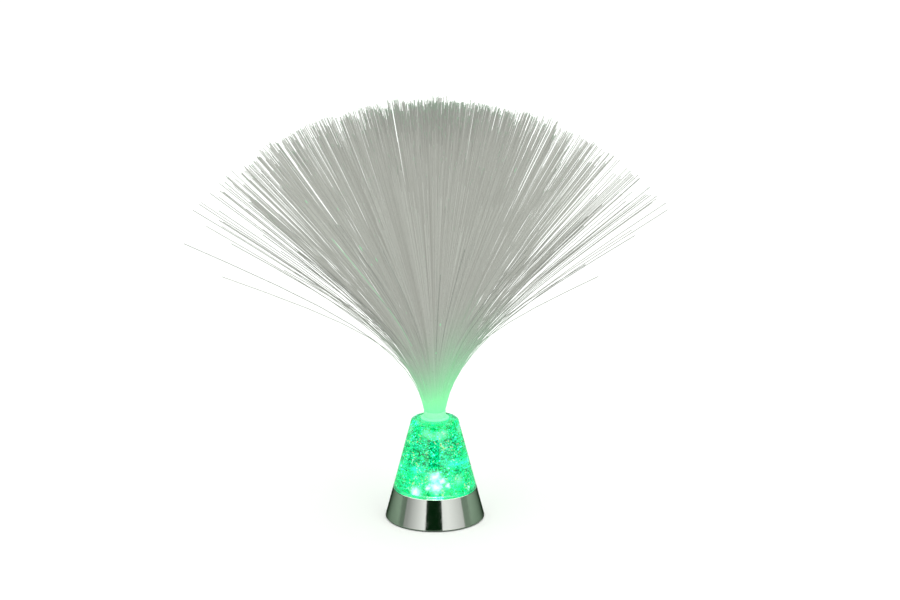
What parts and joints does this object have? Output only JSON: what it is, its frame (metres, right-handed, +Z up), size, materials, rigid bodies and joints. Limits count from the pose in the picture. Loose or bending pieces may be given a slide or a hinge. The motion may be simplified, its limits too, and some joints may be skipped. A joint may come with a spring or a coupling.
{
  "type": "fiber optic lamp",
  "caption": "Battery table lamp: a plated cone base and a clear glitter vessel feed coloured light into a spray of long thin plastic fibres.",
  "frame": {"origin": "middle of the place where the four pads stand", "axes": "+Z up along the cone's axis, -Y towards the front, +X to the viewer's right"},
  "size_m": [0.3674, 0.3674, 0.323],
  "materials": {
    "plated_abs": "bright chrome plating on ABS",
    "black_abs": "fine spark-eroded texture",
    "foot_rubber": "matt",
    "steel_screw": "zinc plated",
    "nickel_strip": "nickel plated",
    "cell_jacket": "printed foil jacket, bare of words",
    "switch_can": "tin plated",
    "black_wire": "PVC insulation",
    "red_wire": "PVC insulation",
    "circuit_board": "solder mask",
    "chip_resin": "moulded epoxy",
    "led_green": "tinted epoxy, lit",
    "led_red": "tinted epoxy",
    "led_blue": "tinted epoxy",
    "white_plastic": "moulded white styrene",
    "clear_acrylic": "polished clear acrylic",
    "fluid": "clear fluid with glitter",
    "soft_stopper": "silicone",
    "collar_plastic": "translucent moulded plastic",
    "fibre": "drawn clear acrylic fibre"
  },
  "bodies": {
    "base": {"base_shell": "plated_abs", "bottom_plate": "black_abs", "base_screws": "steel_screw", "rubber_pads": "foot_rubber", "battery_1": "cell_jacket", "battery_2": "cell_jacket", "battery_3": "cell_jacket", "contacts_left": "nickel_strip", "contacts_right": "nickel_strip", "battery_lead_black": "black_wire", "battery_lead_red": "red_wire", "switch_housing": "switch_can", "switch_leads": "black_wire", "led_board": "circuit_board", "led_green": "led_green", "led_red": "led_red", "led_blue": "led_blue", "control_chip": "chip_resin", "resistors": "chip_resin", "reflector": "white_plastic", "vessel": "clear_acrylic", "vessel_floor": "clear_acrylic", "filler_plug": "soft_stopper", "glitter_fluid": "fluid"},
    "fibre_bundle": {"bundle_plug": "collar_plastic", "fibre_root": "fibre", "fibres_core": "fibre", "fibres_middle": "fibre", "fibres_outer": "fibre"},
    "switch_knob": {"switch_slider": "black_abs"},
    "door": {"battery_door": "black_abs", "door_screws": "steel_screw"}
  },
  "joints": [
    {"name": "bundle_lift", "type": "slide", "parent": "base", "child": "fibre_bundle", "axis": [0, 0, 1], "range_m": [0, 0.02]},
    {"name": "switch_slide", "type": "slide", "parent": "base", "child": "switch_knob", "axis": [1, 0, 0], "range_m": [0, 0.003]},
    {"name": "door_drop", "type": "slide", "parent": "base", "child": "door", "axis": [0, 0, -1], "range_m": [0, 0.012]}
  ]
}
